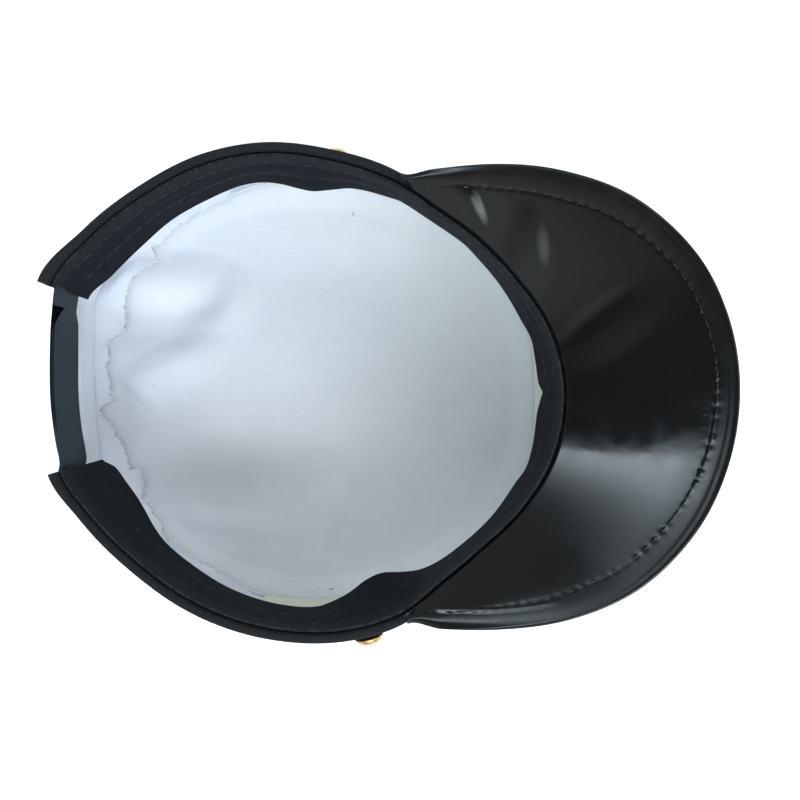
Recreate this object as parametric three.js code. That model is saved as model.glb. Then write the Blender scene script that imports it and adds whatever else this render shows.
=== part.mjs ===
// A captain hat that lies upside down on the flat of its crown. Units are millimetres and +Z is up, out of
// the head opening. The peak points along +X. The origin is on the surface that the hat lies on, below the
// middle of the band. A heading is an angle round the hat in degrees: 0 at the front, 90 on the +Y side.

import * as THREE from "three";

// Driving dimensions
const RIM_HEIGHT = 91; // the band's lower edge above the surface, below the middle of the hat
const RIM_TILT = 0.07; // how much the edge rises for each millimetre towards the front
const BAND_HEIGHT = 38;
const CLOTH = 1.0; // the thickness of one layer of cloth
const GAP = 0.35; // between layers that lie on each other
const FOLD_DEPTH = 8; // how far the band's cloth is turned in over the edge
const SWEATBAND_DEPTH = 31;
const SEAM_HEIGHT = 5.5; // the seam between the top panel and the side panel
const ALLOWANCE = 7.5; // the turned-in edge of the side panel at the back
const ALLOWANCE_FRONT = 2.4; // and at the front, below the stiffener
const CROWN_CENTRE = -3; // the top panel's middle, along X
const CROWN_PUFF = 1.5; // how far the side panel bulges below the band
const HEM_HEIGHT = 60; // the side panel's edge where the band is open
const OPEN_MIDDLE = 177.5; // the heading of the middle of that gap
const GAP_DRAW = 3; // how far the elastic draws the hem in
const ELASTIC = 0.8; // the elastic's thickness
const STEP = 4; // degrees between sections; every layer of the wall has its sections at the same headings
const BAND_START = -162.5;
const BAND_END = 157.5;
const TUCK = STEP; // how many degrees the elastic runs on behind each end of the band
const STIFFENER_START = BAND_START + 14 * STEP;
const STIFFENER_END = BAND_END - 13 * STEP;
const PEAK_SPAN = 66.5;
const PEAK_SLOPE = Math.tan(THREE.MathUtils.degToRad(30));
const PEAK_THICKNESS = 2.2;
const PEAK_BOW = 1.2; // the peak is slightly domed from its root to its edge
const BUTTON_RADIUS = 5.4;
const BUTTON_DOME = 3;

// The outer face of the band at its lower edge; the last rows, past its end, cross the gap at the back
const rim = smooth([
  { heading: -162.5, radius: 100.6 },
  { heading: -150, radius: 96.5 },
  { heading: -135, radius: 92.7 },
  { heading: -120, radius: 91.4 },
  { heading: -100, radius: 90.4 },
  { heading: -80, radius: 90.4 },
  { heading: -68, radius: 89.6 },
  { heading: -55, radius: 86.9 },
  { heading: -42, radius: 87.2 },
  { heading: -29, radius: 90.6 },
  { heading: -15, radius: 94 },
  { heading: 0, radius: 94.9 },
  { heading: 14, radius: 92.6 },
  { heading: 28, radius: 88.1 },
  { heading: 42, radius: 85 },
  { heading: 56, radius: 83.5 },
  { heading: 70, radius: 85.8 },
  { heading: 85, radius: 88 },
  { heading: 100, radius: 92 },
  { heading: 115, radius: 95.4 },
  { heading: 130, radius: 98.2 },
  { heading: 145, radius: 103 },
  { heading: 157.5, radius: 107.5 },
  { heading: 163, radius: 102.4 },
  { heading: 170, radius: 99.8 },
  { heading: 178, radius: 98.4 },
  { heading: 186, radius: 97.4 },
  { heading: 192, radius: 97.4 },
], "radius");

// The seam round the top panel, measured from the panel's own middle
const seam = smooth([
  { heading: -165, radius: 104 },
  { heading: -150, radius: 102 },
  { heading: -120, radius: 99 },
  { heading: -90, radius: 95.6 },
  { heading: -60, radius: 97 },
  { heading: -20, radius: 101.3 },
  { heading: 0, radius: 99.4 },
  { heading: 20, radius: 100.5 },
  { heading: 60, radius: 97.3 },
  { heading: 90, radius: 97 },
  { heading: 115, radius: 102 },
  { heading: 140, radius: 104.5 },
  { heading: 165, radius: 106 },
  { heading: 180, radius: 106 },
], "radius");

// The inner face of the sweatband at its loose edge, which waves in and out
const looseEdge = smooth([
  { heading: -162.5, radius: 91 },
  { heading: -157, radius: 85 },
  { heading: -150, radius: 83.8 },
  { heading: -135, radius: 85.2 },
  { heading: -115, radius: 85.4 },
  { heading: -92, radius: 85.2 },
  { heading: -82, radius: 81.2 },
  { heading: -72, radius: 75.6 },
  { heading: -62, radius: 79.2 },
  { heading: -50, radius: 82 },
  { heading: -31, radius: 84.4 },
  { heading: -20, radius: 87 },
  { heading: -8, radius: 87.2 },
  { heading: 0, radius: 88 },
  { heading: 12, radius: 86.4 },
  { heading: 30, radius: 83.4 },
  { heading: 45, radius: 82.1 },
  { heading: 62, radius: 82.8 },
  { heading: 75, radius: 81.6 },
  { heading: 84, radius: 81.5 },
  { heading: 93, radius: 80.1 },
  { heading: 103, radius: 85.4 },
  { heading: 122, radius: 89.2 },
  { heading: 142, radius: 92.4 },
  { heading: 157.5, radius: 98.6 },
], "radius");

// How far the peak reaches past its root, seen from above
const peakReach = smooth([
  { heading: -66.5, reach: 2.4 },
  { heading: -60, reach: 10.2 },
  { heading: -50, reach: 21.2 },
  { heading: -40, reach: 32.2 },
  { heading: -30, reach: 40.4 },
  { heading: -20, reach: 45.2 },
  { heading: -10, reach: 47.9 },
  { heading: 0, reach: 49 },
  { heading: 10, reach: 48.6 },
  { heading: 20, reach: 46.7 },
  { heading: 30, reach: 41.1 },
  { heading: 40, reach: 31.4 },
  { heading: 50, reach: 20 },
  { heading: 60, reach: 9.2 },
  { heading: 66.5, reach: 2.4 },
], "reach");

// Soft folds that lift the top panel off the surface: the middle, half length and half width, the turn and
// the height of each
const folds = [
  { x: -70, y: 38, length: 38, width: 18, turn: 15, lift: 3 },
  { x: -74, y: 6, length: 18, width: 44, turn: -10, lift: 2.2 },
  { x: 8, y: -52, length: 42, width: 13, turn: 72, lift: 1.4 },
  { x: -62, y: -50, length: 32, width: 16, turn: -40, lift: 2 },
];

// A smooth closed curve through rows of a heading and a value
function smooth(rows, column) {
  const at = (index) => {
    const turns = Math.floor(index / rows.length);
    const row = rows[index - turns * rows.length];
    return { heading: row.heading + 360 * turns, value: row[column] };
  };
  return (heading) => {
    const start = rows[0].heading;
    const wrapped = THREE.MathUtils.euclideanModulo(heading - start, 360) + start;
    let index = 0;
    while (at(index + 1).heading < wrapped) index += 1;
    const [before, from, to, after] = [-1, 0, 1, 2].map((step) => at(index + step));
    const span = to.heading - from.heading;
    const t = (wrapped - from.heading) / span;
    const slopeIn = ((to.value - before.value) / (to.heading - before.heading)) * span;
    const slopeOut = ((after.value - from.value) / (after.heading - from.heading)) * span;
    const cube = 2 * (from.value - to.value) + slopeIn + slopeOut;
    const square = 3 * (to.value - from.value) - 2 * slopeIn - slopeOut;
    return ((cube * t + square) * t + slopeIn) * t + from.value;
  };
}

function place(heading, radius, height) {
  const angle = THREE.MathUtils.degToRad(heading);
  return new THREE.Vector3(radius * Math.cos(angle), radius * Math.sin(angle), height);
}

function rimHeight(heading) {
  return RIM_HEIGHT + RIM_TILT * rim(heading) * Math.cos(THREE.MathUtils.degToRad(heading));
}

// The seam's distance from the middle of the hat
function seamRadius(heading) {
  const angle = THREE.MathUtils.degToRad(heading);
  const off = CROWN_CENTRE * Math.sin(angle);
  return CROWN_CENTRE * Math.cos(angle) + Math.sqrt(seam(heading) ** 2 - off ** 2);
}

// 1 within one angle of the middle of the gap at the back, falling to 0 at another
function openness(heading, full, none) {
  const behind = Math.abs(THREE.MathUtils.euclideanModulo(heading - OPEN_MIDDLE, 360));
  return 1 - THREE.MathUtils.smoothstep(Math.min(behind, 360 - behind), full, none);
}

// The side panel's outer face, from just inside the band's edge down to the seam
function panelRadius(heading, height) {
  const top = rimHeight(heading);
  const down = THREE.MathUtils.clamp((top - height) / (top - SEAM_HEIGHT), 0, 1);
  const start = rim(heading) - CLOTH - GAP;
  const lateness = 2.2 - 0.7 * Math.cos(THREE.MathUtils.degToRad(heading));
  const flare = (seamRadius(heading) - start) * down ** lateness;
  const puff = CROWN_PUFF * Math.sin(Math.PI * down ** 1.5) ** 2;
  const drawn = GAP_DRAW * openness(heading, 0, 24) * Math.sin(Math.PI * Math.min(1, down / 0.62));
  return start + flare + puff - drawn;
}

// The side panel's upper edge: at the band's edge, and lower where the band is open
function panelTop(heading) {
  const half = (BAND_START + 360 - BAND_END) / 2 + TUCK;
  const open = openness(heading, half + 3, half + 19);
  return THREE.MathUtils.lerp(rimHeight(heading) - 2 * CLOTH - GAP, HEM_HEIGHT, open);
}

// The top panel's outer face above the surface: flat, turned up at the seam, and lifted by the folds
function panelFloor(x, y) {
  const heading = THREE.MathUtils.radToDeg(Math.atan2(y, x - CROWN_CENTRE));
  const share = Math.hypot(x - CROWN_CENTRE, y) / seam(heading);
  const turnUp = (SEAM_HEIGHT - CLOTH - 2 * GAP) * THREE.MathUtils.smoothstep(share, 0.86, 1);
  return folds.reduce((height, fold) => {
    const turn = THREE.MathUtils.degToRad(fold.turn);
    const along = (x - fold.x) * Math.cos(turn) + (y - fold.y) * Math.sin(turn);
    const across = (y - fold.y) * Math.cos(turn) - (x - fold.x) * Math.sin(turn);
    const away = Math.min(1, (along / fold.length) ** 2 + (across / fold.width) ** 2);
    return height + fold.lift * (1 - away) ** 2;
  }, turnUp);
}

// A closed wall between two sheets of points. Each sheet gives a point for how far along, 0 to 1, and how
// far across, 0 to 1. A ring has no ends.
function wall(alongSteps, across, ring, front, back) {
  const columns = ring ? alongSteps : alongSteps + 1;
  const rows = across.length;
  const points = [];
  for (const sheet of [front, back]) {
    for (let i = 0; i < columns; i += 1) {
      for (const v of across) points.push(...sheet(i / alongSteps, v).toArray());
    }
  }
  const index = (side, i, j) => side * columns * rows + (i % columns) * rows + j;
  const faces = [];
  const quad = (a, b, c, d) => faces.push(a, b, c, a, c, d);
  for (let i = 0; i < alongSteps; i += 1) {
    for (let j = 0; j < rows - 1; j += 1) {
      quad(index(0, i, j), index(0, i + 1, j), index(0, i + 1, j + 1), index(0, i, j + 1));
      quad(index(1, i, j), index(1, i, j + 1), index(1, i + 1, j + 1), index(1, i + 1, j));
    }
    quad(index(0, i, 0), index(1, i, 0), index(1, i + 1, 0), index(0, i + 1, 0));
    const last = rows - 1;
    quad(index(0, i, last), index(0, i + 1, last), index(1, i + 1, last), index(1, i, last));
  }
  for (let j = 0; j < rows - 1 && !ring; j += 1) {
    quad(index(0, 0, j), index(0, 0, j + 1), index(1, 0, j + 1), index(1, 0, j));
    const end = alongSteps;
    quad(index(0, end, j), index(1, end, j), index(1, end, j + 1), index(0, end, j + 1));
  }
  return closed(points, faces);
}

// A geometry from points and triangles, with its faces turned outwards
function closed(points, faces) {
  const corner = (i) => new THREE.Vector3().fromArray(points, 3 * faces[i]);
  let volume = 0;
  for (let i = 0; i < faces.length; i += 3) {
    volume += corner(i).dot(corner(i + 1).cross(corner(i + 2)));
  }
  const geometry = new THREE.BufferGeometry();
  geometry.setAttribute("position", new THREE.Float32BufferAttribute(points, 3));
  geometry.setIndex(volume < 0 ? faces.reverse() : faces);
  geometry.computeVertexNormals();
  return geometry;
}

function even(steps) {
  return Array.from({ length: steps + 1 }, (_, i) => i / steps);
}

// The top panel is a disc of rings round its middle, with the same rings on both faces
function crownTop() {
  const spokes = 60;
  const shares = [0.3, 0.55, 0.74, 0.86, 0.93, 1];
  const points = [CROWN_CENTRE, 0, 0, CROWN_CENTRE, 0, CLOTH];
  for (let face = 0; face < 2; face += 1) {
    for (const share of shares) {
      for (let i = 0; i < spokes; i += 1) {
        const heading = (360 * (i + 0.5)) / spokes;
        const point = place(heading, share * seam(heading), 0);
        const x = point.x + CROWN_CENTRE;
        points.push(x, point.y, panelFloor(x, point.y) + face * CLOTH);
      }
    }
  }
  const index = (face, ring, i) => 2 + (face * shares.length + ring) * spokes + (i % spokes);
  const faces = [];
  const quad = (a, b, c, d) => faces.push(a, b, c, a, c, d);
  const last = shares.length - 1;
  for (let i = 0; i < spokes; i += 1) {
    const j = i + 1;
    faces.push(0, index(0, 0, j), index(0, 0, i));
    faces.push(1, index(1, 0, i), index(1, 0, j));
    for (let ring = 0; ring < last; ring += 1) {
      const next = ring + 1;
      quad(index(0, ring, i), index(0, ring, j), index(0, next, j), index(0, next, i));
      quad(index(1, ring, j), index(1, ring, i), index(1, next, i), index(1, next, j));
    }
    quad(index(0, last, i), index(0, last, j), index(1, last, j), index(1, last, i));
  }
  return closed(points, faces);
}

// The side panel is a ring with an L section: the wall, and the allowance turned in over the top panel
function crownSide() {
  const corner = 0.84; // the share of the section that is wall
  const point = (inset) => (u, v) => {
    const heading = BAND_START + 360 * u;
    const top = panelTop(heading);
    const low = SEAM_HEIGHT;
    if (v <= corner) {
      const height = THREE.MathUtils.lerp(top, low + inset, v / corner);
      return place(heading, panelRadius(heading, height) - inset, height);
    }
    const allowance = THREE.MathUtils.lerp(ALLOWANCE_FRONT, ALLOWANCE, openness(heading, 50, 78));
    const reach = inset + ((allowance - inset) * (v - corner)) / (1 - corner);
    const spot = place(heading, seamRadius(heading) - reach, 0);
    spot.z = panelFloor(spot.x, spot.y) + CLOTH + GAP + inset;
    return spot;
  };
  return wall(360 / STEP, [0, 0.17, 0.34, 0.51, 0.68, corner, 1], true, point(0), point(CLOTH));
}

// A strip of wall inside the side panel, at a depth behind its outer face
function strip(across, from, to, top, bottom, depth, thickness) {
  const point = (inset) => (u, v) => {
    const heading = THREE.MathUtils.lerp(from, to, u);
    const height = THREE.MathUtils.lerp(top(heading), bottom(heading), v);
    return place(heading, panelRadius(heading, height) - inset, height);
  };
  return wall((to - from) / STEP, across, false, point(depth), point(depth + thickness));
}

// The band is a hook in section: the outer wall, and its cloth turned in over the edge
function hatBand() {
  const sections = {
    outer: [
      { drop: BAND_HEIGHT, inset: -CLOTH - GAP },
      { drop: BAND_HEIGHT / 2, inset: -CLOTH - GAP },
      { drop: 0.6, inset: -CLOTH - GAP },
      { drop: 0, inset: -CLOTH / 2 - GAP },
      { drop: 0, inset: CLOTH + GAP + CLOTH / 2 },
      { drop: 0.6, inset: CLOTH + GAP + CLOTH },
      { drop: FOLD_DEPTH, inset: CLOTH + GAP + CLOTH },
    ],
    inner: [
      { drop: BAND_HEIGHT, inset: -GAP },
      { drop: BAND_HEIGHT / 2, inset: -GAP },
      { drop: CLOTH + 0.2, inset: -GAP },
      { drop: CLOTH, inset: 0 },
      { drop: CLOTH, inset: CLOTH },
      { drop: CLOTH + 0.2, inset: CLOTH + GAP },
      { drop: FOLD_DEPTH, inset: CLOTH + GAP },
    ],
  };
  const steps = sections.outer.length - 1;
  const point = (rows) => (u, v) => {
    const heading = THREE.MathUtils.lerp(BAND_START, BAND_END, u);
    const row = rows[Math.round(v * steps)];
    const height = rimHeight(heading) - row.drop;
    return place(heading, panelRadius(heading, height) - row.inset, height);
  };
  const columns = (BAND_END - BAND_START) / STEP;
  return wall(columns, even(steps), false, point(sections.outer), point(sections.inner));
}

// The sweatband starts inside the band's fold and leans in to its loose edge. Beside the peak its upper
// edge stands a little higher, over the peak's root.
function sweatband() {
  const behind = 2 * (CLOTH + GAP) + CLOTH + GAP;
  const point = (thickness) => (u, v) => {
    const heading = THREE.MathUtils.lerp(BAND_START, BAND_END, u);
    const nearPeak = 1 - THREE.MathUtils.smoothstep(Math.abs(heading), PEAK_SPAN - 4, PEAK_SPAN + 6);
    const top = rimHeight(heading) + THREE.MathUtils.lerp(-0.5, 1.6, nearPeak);
    const height = THREE.MathUtils.lerp(top, rimHeight(heading) - SWEATBAND_DEPTH, v);
    const start = panelRadius(heading, top) - behind;
    const lean = THREE.MathUtils.lerp(start, looseEdge(heading), v ** 1.6);
    return place(heading, Math.min(lean, panelRadius(heading, height) - behind) + thickness, height);
  };
  return wall((BAND_END - BAND_START) / STEP, [0, 0.3, 0.65, 1], false, point(0), point(CLOTH));
}

// The elastic stands on the hem, with its ends between the band and the sweatband
function backElastic() {
  const top = (heading) => rimHeight(heading) - CLOTH - GAP - 0.6;
  const bottom = () => HEM_HEIGHT + GAP;
  return strip(even(3), BAND_END - TUCK, BAND_START + 360 + TUCK, top, bottom, 0.15, ELASTIC);
}

// The peak slopes up and away from the band's edge, and its edge is rolled into a bead
function peak() {
  const rows = [
    { share: 0, under: 0, over: PEAK_THICKNESS },
    { share: 0.3, under: 0, over: PEAK_THICKNESS },
    { share: 0.6, under: 0, over: PEAK_THICKNESS },
    { share: 0.93, under: 0, over: PEAK_THICKNESS },
    { share: 0.965, under: -0.3, over: PEAK_THICKNESS + 0.7 },
    { share: 0.99, under: 0.1, over: PEAK_THICKNESS + 0.6 },
    { share: 1, under: 0.8, over: PEAK_THICKNESS },
  ];
  const steps = rows.length - 1;
  const point = (side) => (u, v) => {
    const heading = THREE.MathUtils.lerp(-PEAK_SPAN, PEAK_SPAN, u);
    const row = rows[Math.round(v * steps)];
    const out = row.share * peakReach(heading);
    const root = rim(heading) - 3 * CLOTH - GAP;
    const dome = PEAK_BOW * Math.sin(Math.PI * row.share);
    return place(heading, root + out, rimHeight(heading) + GAP + out * PEAK_SLOPE + dome + row[side]);
  };
  return wall(44, even(steps), false, point("under"), point("over"));
}

// A dome button on a short shank, turned to face outwards from the band
function button(name, heading, drop) {
  const profile = [
    new THREE.Vector2(0, 0),
    new THREE.Vector2(2, 0),
    new THREE.Vector2(2, 1),
    new THREE.Vector2(BUTTON_RADIUS - 0.8, 1.2),
    ...even(4).slice(0, 4).map((t) => new THREE.Vector2(
      BUTTON_RADIUS * Math.cos((t * Math.PI) / 2),
      2 + BUTTON_DOME * Math.sin((t * Math.PI) / 2),
    )),
    new THREE.Vector2(0, 2 + BUTTON_DOME),
  ];
  const mesh = new THREE.Mesh(new THREE.LatheGeometry(profile, 16), gilt);
  const height = rimHeight(heading) - drop;
  const face = panelRadius(heading, height) + CLOTH + GAP;
  mesh.position.copy(place(heading, face + 1.5 * GAP, height));
  mesh.quaternion.setFromUnitVectors(new THREE.Vector3(0, 1, 0), place(heading, 1, 0));
  mesh.name = name;
  return mesh;
}

const whiteCotton = new THREE.MeshStandardMaterial({ color: 0xe6ebf2, roughness: 0.85 });
const creamStiffener = new THREE.MeshStandardMaterial({ color: 0xe2e2cf, roughness: 0.8 });
const blackTwill = new THREE.MeshStandardMaterial({ color: 0x1d2024, roughness: 0.8 });
const blackCotton = new THREE.MeshStandardMaterial({ color: 0x1c1e26, roughness: 0.85 });
const slateElastic = new THREE.MeshStandardMaterial({ color: 0x2f3a44, roughness: 0.6 });
const blackVinyl = new THREE.MeshStandardMaterial({ color: 0x0e1011, roughness: 0.18 });
const gilt = new THREE.MeshStandardMaterial({ color: 0xd2a53c, roughness: 0.2, metalness: 1 });

function piece(name, geometry, material) {
  const mesh = new THREE.Mesh(geometry, material);
  mesh.name = name;
  return mesh;
}

const stiffenerTop = (heading) => rimHeight(heading) - FOLD_DEPTH - 2;
const stiffenerBottom = () => SEAM_HEIGHT + CLOTH + GAP;
const stiffener = strip(
  even(4), STIFFENER_START, STIFFENER_END, stiffenerTop, stiffenerBottom, CLOTH + 1.6 * GAP, CLOTH,
);

const hat = new THREE.Group();
hat.add(
  piece("crown_top", crownTop(), whiteCotton),
  piece("crown_side", crownSide(), whiteCotton),
  piece("crown_stiffener", stiffener, creamStiffener),
  piece("hat_band", hatBand(), blackTwill),
  piece("sweatband", sweatband(), blackCotton),
  piece("back_elastic", backElastic(), slateElastic),
  piece("peak", peak(), blackVinyl),
  button("button_left", 84.5, 20),
  button("button_right", -76.6, 10),
);

export default hat;
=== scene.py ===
# %% [markdown]
# # A captain hat, lying upside down on its crown
#
# The hat is seen from above, so we look into it: white cotton lining, black sweatband, elastic at the
# back and the glossy underside of the peak. Every soft layer of the wall follows the same few curves
# round the hat, so we write those curves once and hang all the cloth on them.

import math

import bpy
import numpy as np
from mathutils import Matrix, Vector


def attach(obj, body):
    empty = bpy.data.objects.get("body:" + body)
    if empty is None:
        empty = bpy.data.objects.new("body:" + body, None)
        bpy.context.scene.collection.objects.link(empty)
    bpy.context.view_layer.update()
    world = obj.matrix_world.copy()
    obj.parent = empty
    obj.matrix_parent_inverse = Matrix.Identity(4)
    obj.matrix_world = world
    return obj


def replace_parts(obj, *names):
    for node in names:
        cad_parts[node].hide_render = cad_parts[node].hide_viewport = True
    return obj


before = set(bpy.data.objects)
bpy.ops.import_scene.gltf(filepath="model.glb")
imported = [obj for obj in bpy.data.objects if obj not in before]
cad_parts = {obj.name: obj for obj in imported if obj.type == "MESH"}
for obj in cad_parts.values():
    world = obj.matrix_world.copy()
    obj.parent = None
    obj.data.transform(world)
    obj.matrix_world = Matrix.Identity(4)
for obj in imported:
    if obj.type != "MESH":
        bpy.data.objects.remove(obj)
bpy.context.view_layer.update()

# %% [markdown]
# ## The camera
#
# It hangs straight above the hat, a little in front of its middle. A downward camera needs no rotation at
# all in Blender, because a camera looks along its own -Z. The lens gives the perspective: close up and
# fairly short, so the crown below the band is hidden by the band.

# %% The camera
CAMERA_PLACE = (0.033, -0.003, 0.415)
bpy.ops.object.camera_add(location=CAMERA_PLACE, rotation=(0, 0, 0))
camera = bpy.context.object
camera.name = "camera_above"
camera.data.sensor_width = 36
camera.data.lens = 40.5
camera.data.clip_start = 0.02
bpy.context.scene.camera = camera
print("camera", CAMERA_PLACE, "lens", camera.data.lens)

# %% [markdown]
# ## Light and floor
#
# Black vinyl shows what it mirrors more than what falls on it, so the lights are shaped as real sources
# are: a broad soft light gives the cloth its shading, and a tall window with sharp edges gives the peak its
# highlight. An area light is both, and its radiance is its power over pi times its area.

# %% How a lamp fades
HAT_MIDDLE = Vector((0.02, 0, 0.06))


def window_light(name, heading, height, distance, width, tall, radiance, colour):
    """A flat light that faces the hat from a heading and a height above the floor, both in degrees."""
    low = math.cos(math.radians(height)) * distance
    aim = Vector((low * math.cos(math.radians(heading)), low * math.sin(math.radians(heading)),
                  math.sin(math.radians(height)) * distance))
    bpy.ops.object.light_add(type="AREA", location=HAT_MIDDLE + aim)
    lamp = bpy.context.object
    lamp.name = name
    lamp.rotation_euler = aim.to_track_quat("Z", "Y").to_euler()
    lamp.data.shape = "RECTANGLE"
    lamp.data.size = width
    lamp.data.size_y = tall
    lamp.data.energy = radiance * math.pi * width * tall
    lamp.data.color = colour
    print(name, "radiance", radiance, "power", round(lamp.data.energy, 2))
    return lamp


def tree_math(tree, operation, a, b):
    """One sum of a node's output and of a number or another output."""
    node = tree.nodes.new("ShaderNodeMath")
    node.operation = operation
    tree.links.new(a, node.inputs[0])
    if isinstance(b, bpy.types.NodeSocket):
        tree.links.new(b, node.inputs[1])
    else:
        node.inputs[1].default_value = b
    return node.outputs[0]


def tree_levels(tree, value, start, stop, low, high):
    """Maps the values from start to stop onto those from low to high."""
    node = tree.nodes.new("ShaderNodeMapRange")
    tree.links.new(value, node.inputs["Value"])
    for socket, number in {"From Min": start, "From Max": stop, "To Min": low, "To Max": high}.items():
        node.inputs[socket].default_value = number
    return node.outputs["Result"]


def fade(lamp, how_far, power, strength):
    """Makes a light's radiance fall off across its face. The node gets the face as two shares, 0 to 1."""
    lamp.data.use_nodes = True
    face = lamp.data.node_tree
    shares = face.nodes.new("ShaderNodeNewGeometry").outputs["Parametric"]
    level = tree_math(face, "MULTIPLY", tree_math(face, "POWER", how_far(face, shares), power), strength)
    face.links.new(level, face.nodes["Emission"].inputs["Strength"])


def from_one_side(face, shares):
    """Brighter to one side and towards the top, but dimmer behind a blind along its top edge."""
    split = face.nodes.new("ShaderNodeSeparateXYZ")
    face.links.new(shares, split.inputs[0])
    level = split.outputs["X"]
    for start, stop, low, high in [(0.0, 0.70, 0.90, 1.12), (0.74, 0.86, 1.0, 0.72)]:
        change = tree_levels(face, split.outputs["Y"], start, stop, low, high)
        level = tree_math(face, "MULTIPLY", level, change)
    return level


def from_the_middle(face, shares):
    centred = face.nodes.new("ShaderNodeMapping")
    centred.inputs["Location"].default_value = (-1, -1, 0)
    centred.inputs["Scale"].default_value = (2, 2, 0)
    face.links.new(shares, centred.inputs["Vector"])
    ball = face.nodes.new("ShaderNodeTexGradient")
    ball.gradient_type = "SPHERICAL"
    face.links.new(centred.outputs["Vector"], ball.inputs["Vector"])
    return ball.outputs["Fac"]


# %% [markdown]
# ### The lamps
#
# Two soft lights stand on the hat's right, one on its left and one in front. The window is behind it.

# %% The lamps
LAMPS = [
    # name, heading, height, radiance at the middle, how it falls off and colour
    ("key_light", -66, 43, 8.7, 0.5, (0.865, 0.938, 1.0)),
    ("upper_fill", -102, 60, 4.7, 1.2, (0.90, 0.96, 1.0)),
    ("back_fill", 80, 50, 2.9, 0.5, (0.98, 1.0, 0.98)),
    ("front_fill", 8, 43, 3.2, 0.5, (0.92, 0.97, 1.0)),
]
for name, heading, height, radiance, power, colour in LAMPS:
    fade(window_light(name, heading, height, 2.0, 1.5, 1.5, 1.0, colour), from_the_middle, power, radiance)
window = window_light("window", 155.4, 45, 1.6, 0.47, 1.26, 1.0, (0.77, 0.91, 1.0))
window.rotation_euler.rotate_axis("Z", math.radians(-1.5))
fade(window, from_one_side, 2.3, 7.7)

# %% [markdown]
# ### Sky and floor
#
# The room is dim ahead and behind and brighter to the sides, most on the hat's right. The floor is white
# and takes the hat's shadow.

# %% Sky and floor
DIM_ROOM = 0.07
world = bpy.data.worlds.new("pale_room")
bpy.context.scene.world = world
world.use_nodes = True
room = world.node_tree
room.nodes["Background"].inputs["Color"].default_value = (0.90, 0.97, 1.0, 1)
sideways = room.nodes.new("ShaderNodeSeparateXYZ")
room.links.new(room.nodes.new("ShaderNodeTexCoord").outputs["Generated"], sideways.inputs[0])
right, left = [
    tree_levels(room, sideways.outputs["Y"], start, stop, DIM_ROOM, DIM_ROOM + glow)
    for start, stop, glow in [(-0.12, -0.50, 0.62), (0.12, 0.60, 0.25)]]
room.links.new(tree_math(room, "ADD", right, left), room.nodes["Background"].inputs["Strength"])
bpy.context.scene.view_settings.view_transform = "Standard"

bpy.ops.object.select_all(action="DESELECT")
bpy.ops.mesh.primitive_plane_add(size=4, location=(0, 0, -0.0004))
floor = bpy.context.object
floor.name = "floor"

# %% [markdown]
# ## The curves that the hat follows
#
# A hat is round, so a curve is given by a few radii at headings round it: 0 degrees at the front, 90 on the
# left as worn. A smooth curve runs through them. The same could be done with a Bezier circle and a
# Curve modifier, but plain numbers keep the layers of cloth exactly parallel.

# %% Round curves
MM = 0.001
RIM_HEIGHT = 91
RIM_TILT = 0.07
BAND_HEIGHT = 38
CLOTH = 1.0
GAP = 0.35
FOLD_DEPTH = 8
SWEATBAND_DEPTH = 31
SEAM_HEIGHT = 5.5
CROWN_CENTRE = -3
HEM_HEIGHT = 60
OPEN_MIDDLE = 177.5
BAND_START = -162.5
BAND_END = 158.0


def round_curve(rows):
    """A smooth closed curve through rows of a heading in degrees and a size in millimetres."""
    heading, size = np.array(rows, float).T
    turns = np.concatenate([heading[-2:] - 360, heading, heading[:3] + 360])
    sizes = np.concatenate([size[-2:], size, size[:3]])

    def at(where):
        wrapped = (np.asarray(where, float) - heading[0]) % 360 + heading[0]
        i = np.clip(np.searchsorted(turns, wrapped, side="right") - 1, 1, len(turns) - 3)
        span = turns[i + 1] - turns[i]
        t = (wrapped - turns[i]) / span
        slope_in = (sizes[i + 1] - sizes[i - 1]) / (turns[i + 1] - turns[i - 1]) * span
        slope_out = (sizes[i + 2] - sizes[i]) / (turns[i + 2] - turns[i]) * span
        cube = 2 * (sizes[i] - sizes[i + 1]) + slope_in + slope_out
        square = 3 * (sizes[i + 1] - sizes[i]) - 2 * slope_in - slope_out
        return ((cube * t + square) * t + slope_in) * t + sizes[i]

    return at


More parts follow.
